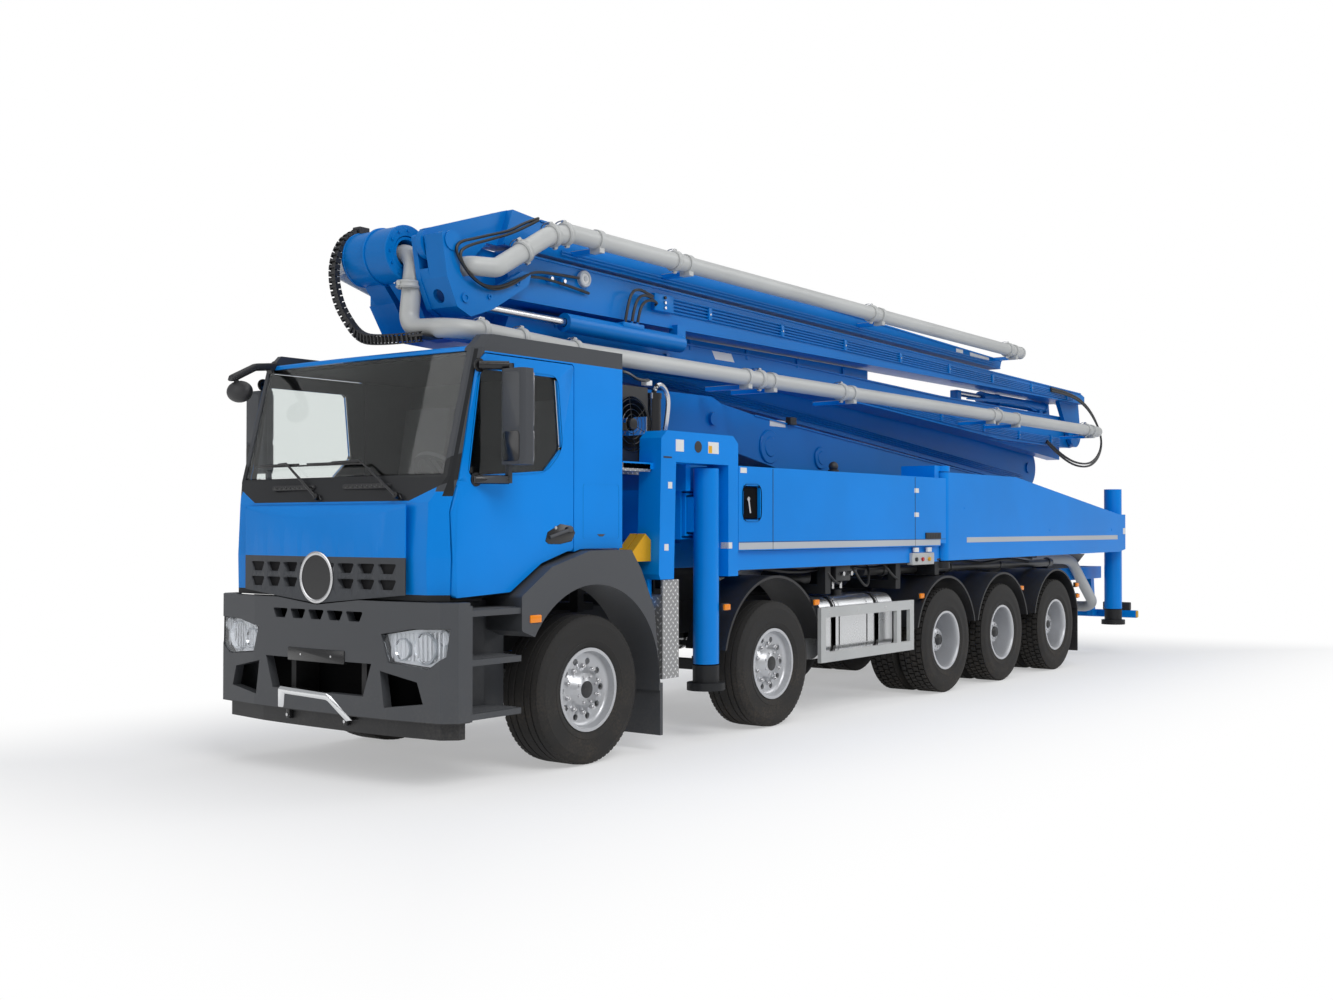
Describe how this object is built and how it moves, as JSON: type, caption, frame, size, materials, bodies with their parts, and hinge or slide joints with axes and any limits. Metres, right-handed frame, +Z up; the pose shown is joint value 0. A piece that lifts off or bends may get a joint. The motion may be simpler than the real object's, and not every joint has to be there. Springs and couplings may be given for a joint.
{
  "type": "truck-mounted concrete pump",
  "caption": "Five-axle truck with a folded placing boom, swing-out outriggers and a rear hopper, for pumping fresh concrete.",
  "frame": {"origin": "middle of the truck's length and width, on the ground under the tyres", "axes": "+X forward, +Y to the driver's left, +Z up"},
  "size_m": [12.619, 2.96, 4.008],
  "materials": {
    "frame_paint": "satin black paint",
    "cast_iron": "rough casting",
    "blue_paint": "glossy bright blue paint",
    "glass": "clear glass",
    "interior_plastic": "fabric and soft plastic",
    "dark_plastic": "grained dark plastic",
    "lamp_plastic": "clear lamp cover",
    "aluminium": "brushed aluminium",
    "grey_paint": "light grey paint",
    "cooler_paint": "satin dark paint",
    "chrome": "polished rod",
    "tyre": "dusty black rubber"
  },
  "bodies": {
    "truck": {"chassis_frame": "frame_paint", "engine": "cast_iron", "front_axles": "frame_paint", "rear_axles": "frame_paint", "cab_shell": "blue_paint", "windscreen": "glass", "cab_interior": "interior_plastic", "bumper": "dark_plastic", "headlights": "lamp_plastic", "steps_and_wheel_arches": "dark_plastic", "support_frame": "blue_paint", "side_covers": "blue_paint", "fuel_tanks": "aluminium", "side_guards": "grey_paint", "mudguards": "dark_plastic", "tool_boxes": "aluminium", "oil_cooler": "cooler_paint", "hopper": "frame_paint", "concrete_pump": "grey_paint", "rear_frame": "blue_paint"},
    "turntable": {"turntable": "blue_paint"},
    "boom_a": {"boom_a": "blue_paint"},
    "boom_b": {"boom_b": "blue_paint", "pipe_b": "grey_paint"},
    "boom_c": {"boom_c": "blue_paint", "pipe_c": "grey_paint"},
    "boom_d": {"boom_d": "blue_paint"},
    "boom_e": {"boom_e": "blue_paint", "pipe_e": "grey_paint"},
    "boom_e_rod": {"boom_e_rod": "chrome"},
    "front_flap": {"front_flap": "blue_paint"},
    "cooler_fan": {"cooler_fan": "cooler_paint"},
    "front_left_knuckle": {"front_left_knuckle": "frame_paint"},
    "front_left_wheel": {"front_left_wheel": "tyre"},
    "front_right_knuckle": {"front_right_knuckle": "frame_paint"},
    "front_right_wheel": {"front_right_wheel": "tyre"},
    "second_left_knuckle": {"second_left_knuckle": "frame_paint"},
    "second_left_wheel": {"second_left_wheel": "tyre"},
    "second_right_knuckle": {"second_right_knuckle": "frame_paint"},
    "second_right_wheel": {"second_right_wheel": "tyre"},
    "third_left_wheels": {"third_left_wheels": "tyre"},
    "third_right_wheels": {"third_right_wheels": "tyre"},
    "fourth_left_wheels": {"fourth_left_wheels": "tyre"},
    "fourth_right_wheels": {"fourth_right_wheels": "tyre"},
    "fifth_left_wheels": {"fifth_left_wheels": "tyre"},
    "fifth_right_wheels": {"fifth_right_wheels": "tyre"},
    "left_door": {"left_door": "blue_paint", "left_door_window": "glass"},
    "left_front_outrigger_outer": {"left_front_outrigger_outer": "blue_paint"},
    "left_front_outrigger": {"left_front_outrigger": "blue_paint"},
    "left_front_jack": {"left_front_jack": "blue_paint"},
    "left_rear_outrigger": {"left_rear_outrigger": "blue_paint"},
    "left_rear_jack": {"left_rear_jack": "blue_paint"},
    "right_door": {"right_door": "blue_paint", "right_door_window": "glass"},
    "right_front_outrigger_outer": {"right_front_outrigger_outer": "blue_paint"},
    "right_front_outrigger": {"right_front_outrigger": "blue_paint"},
    "right_front_jack": {"right_front_jack": "blue_paint"},
    "right_rear_outrigger": {"right_rear_outrigger": "blue_paint"},
    "right_rear_jack": {"right_rear_jack": "blue_paint"}
  },
  "joints": [
    {"name": "boom_a_lift", "type": "hinge", "parent": "turntable", "child": "boom_a", "pos_m": [2.29, 0, 2.67], "axis": [0, 1, 0], "range_deg": [0, 90]},
    {"name": "boom_b_fold", "type": "hinge", "parent": "boom_a", "child": "boom_b", "pos_m": [-5.2, -0.09, 2.49], "axis": [0, -1, 0], "range_deg": [0, 180]},
    {"name": "turntable_slew", "type": "hinge", "parent": "truck", "child": "turntable", "pos_m": [2.45, 0, 1.64], "axis": [0, 0, 1], "range_deg": [0, 90]},
    {"name": "boom_c_fold", "type": "hinge", "parent": "boom_b", "child": "boom_c", "pos_m": [5.8, 0.2, 3.61], "axis": [0, 1, 0], "range_deg": [0, 180]},
    {"name": "boom_d_fold", "type": "hinge", "parent": "boom_c", "child": "boom_d", "pos_m": [-5.7, 0.31, 2.965], "axis": [0, -1, 0], "range_deg": [0, 180]},
    {"name": "boom_e_fold", "type": "hinge", "parent": "boom_d", "child": "boom_e", "pos_m": [5.81, 0.57, 3.65], "axis": [0, 1, 0], "range_deg": [0, 180]},
    {"name": "boom_e_rod_slide", "type": "slide", "parent": "boom_d", "child": "boom_e_rod", "axis": [-1, 0, -0.0099], "range_m": [0, 0.65]},
    {"name": "front_left_steering", "type": "hinge", "parent": "truck", "child": "front_left_knuckle", "pos_m": [4.85, 0.78, 0.536], "axis": [0, 0, 1], "range_deg": [-38, 38]},
    {"name": "front_left_wheel_roll", "type": "hinge", "parent": "front_left_knuckle", "child": "front_left_wheel", "pos_m": [4.85, 1.01, 0.536], "axis": [0, 1, 0], "continuous": true},
    {"name": "front_right_steering", "type": "hinge", "parent": "truck", "child": "front_right_knuckle", "pos_m": [4.85, -0.78, 0.536], "axis": [0, 0, 1], "range_deg": [-38, 38]},
    {"name": "front_right_wheel_roll", "type": "hinge", "parent": "front_right_knuckle", "child": "front_right_wheel", "pos_m": [4.85, -1.01, 0.536], "axis": [0, 1, 0], "continuous": true},
    {"name": "second_left_steering", "type": "hinge", "parent": "truck", "child": "second_left_knuckle", "pos_m": [2.5, 0.78, 0.536], "axis": [0, 0, 1], "range_deg": [-27, 27]},
    {"name": "second_left_wheel_roll", "type": "hinge", "parent": "second_left_knuckle", "child": "second_left_wheel", "pos_m": [2.5, 1.01, 0.536], "axis": [0, 1, 0], "continuous": true},
    {"name": "second_right_steering", "type": "hinge", "parent": "truck", "child": "second_right_knuckle", "pos_m": [2.5, -0.78, 0.536], "axis": [0, 0, 1], "range_deg": [-27, 27]},
    {"name": "second_right_wheel_roll", "type": "hinge", "parent": "second_right_knuckle", "child": "second_right_wheel", "pos_m": [2.5, -1.01, 0.536], "axis": [0, 1, 0], "continuous": true},
    {"name": "third_left_wheels_roll", "type": "hinge", "parent": "truck", "child": "third_left_wheels", "pos_m": [-0.58, 1.094, 0.536], "axis": [0, 1, 0], "continuous": true},
    {"name": "third_right_wheels_roll", "type": "hinge", "parent": "truck", "child": "third_right_wheels", "pos_m": [-0.58, -1.094, 0.536], "axis": [0, 1, 0], "continuous": true},
    {"name": "fourth_left_wheels_roll", "type": "hinge", "parent": "truck", "child": "fourth_left_wheels", "pos_m": [-1.92, 1.094, 0.536], "axis": [0, 1, 0], "continuous": true},
    {"name": "fourth_right_wheels_roll", "type": "hinge", "parent": "truck", "child": "fourth_right_wheels", "pos_m": [-1.92, -1.094, 0.536], "axis": [0, 1, 0], "continuous": true},
    {"name": "fifth_left_wheels_roll", "type": "hinge", "parent": "truck", "child": "fifth_left_wheels", "pos_m": [-3.4, 1.094, 0.536], "axis": [0, 1, 0], "continuous": true},
    {"name": "fifth_right_wheels_roll", "type": "hinge", "parent": "truck", "child": "fifth_right_wheels", "pos_m": [-3.4, -1.094, 0.536], "axis": [0, 1, 0], "continuous": true},
    {"name": "left_door_hinge", "type": "hinge", "parent": "truck", "child": "left_door", "pos_m": [6.153, 1.153, 1.6], "axis": [0, 0, -1], "range_deg": [0, 75]},
    {"name": "left_front_outrigger_outer_swing", "type": "hinge", "parent": "truck", "child": "left_front_outrigger_outer", "pos_m": [6.85, 1.1, 1.8], "axis": [0, 0, -1], "range_deg": [0, 26]},
    {"name": "left_front_outrigger_swing", "type": "hinge", "parent": "left_front_outrigger_outer", "child": "left_front_outrigger", "pos_m": [6.85, 1.1, 1.8], "axis": [0, 0, -1], "range_deg": [0, 26]},
    {"name": "left_front_jack_slide", "type": "slide", "parent": "left_front_outrigger", "child": "left_front_jack", "axis": [0, 0, -1], "range_m": [0, 0.385]},
    {"name": "left_rear_outrigger_swing", "type": "hinge", "parent": "truck", "child": "left_rear_outrigger", "pos_m": [-0.69, 1.13, 1.8], "axis": [0, 0, -1], "range_deg": [0, 60]},
    {"name": "left_rear_jack_slide", "type": "slide", "parent": "left_rear_outrigger", "child": "left_rear_jack", "axis": [0, 0, -1], "range_m": [0, 0.385]},
    {"name": "right_door_hinge", "type": "hinge", "parent": "truck", "child": "right_door", "pos_m": [6.153, -1.153, 1.6], "axis": [0, 0, 1], "range_deg": [0, 75]},
    {"name": "right_front_outrigger_outer_swing", "type": "hinge", "parent": "truck", "child": "right_front_outrigger_outer", "pos_m": [6.85, -1.1, 1.38], "axis": [0, 0, 1], "range_deg": [0, 26]},
    {"name": "right_front_outrigger_swing", "type": "hinge", "parent": "right_front_outrigger_outer", "child": "right_front_outrigger", "pos_m": [6.85, -1.1, 1.38], "axis": [0, 0, 1], "range_deg": [0, 26]},
    {"name": "right_front_jack_slide", "type": "slide", "parent": "right_front_outrigger", "child": "right_front_jack", "axis": [0, 0, -1], "range_m": [0, 0.385]},
    {"name": "right_rear_outrigger_swing", "type": "hinge", "parent": "truck", "child": "right_rear_outrigger", "pos_m": [-0.69, -1.13, 1.8], "axis": [0, 0, 1], "range_deg": [0, 60]},
    {"name": "right_rear_jack_slide", "type": "slide", "parent": "right_rear_outrigger", "child": "right_rear_jack", "axis": [0, 0, -1], "range_m": [0, 0.385]},
    {"name": "front_flap_hinge", "type": "hinge", "parent": "truck", "child": "front_flap", "pos_m": [6.25, 0, 1.84], "axis": [0, -1, 0], "range_deg": [0, 80]},
    {"name": "cooler_fan_spin", "type": "hinge", "parent": "truck", "child": "cooler_fan", "pos_m": [4.17, 0.78, 2.486], "axis": [0, 1, 0], "continuous": true}
  ],
  "couplings": [
    {"joint": "boom_b_fold", "follows": "boom_a_lift", "ratio": 2},
    {"joint": "turntable_slew", "follows": "boom_a_lift", "ratio": 1},
    {"joint": "boom_e_fold", "follows": "boom_d_fold", "ratio": 1},
    {"joint": "boom_e_rod_slide", "follows": "boom_d_fold", "m_per_rad": 0.2},
    {"joint": "front_right_steering", "follows": "front_left_steering", "ratio": 1},
    {"joint": "second_left_steering", "follows": "front_left_steering", "ratio": 0.7},
    {"joint": "second_right_steering", "follows": "front_left_steering", "ratio": 0.7},
    {"joint": "left_front_outrigger_swing", "follows": "left_front_outrigger_outer_swing", "ratio": 1},
    {"joint": "right_front_outrigger_swing", "follows": "right_front_outrigger_outer_swing", "ratio": 1}
  ]
}
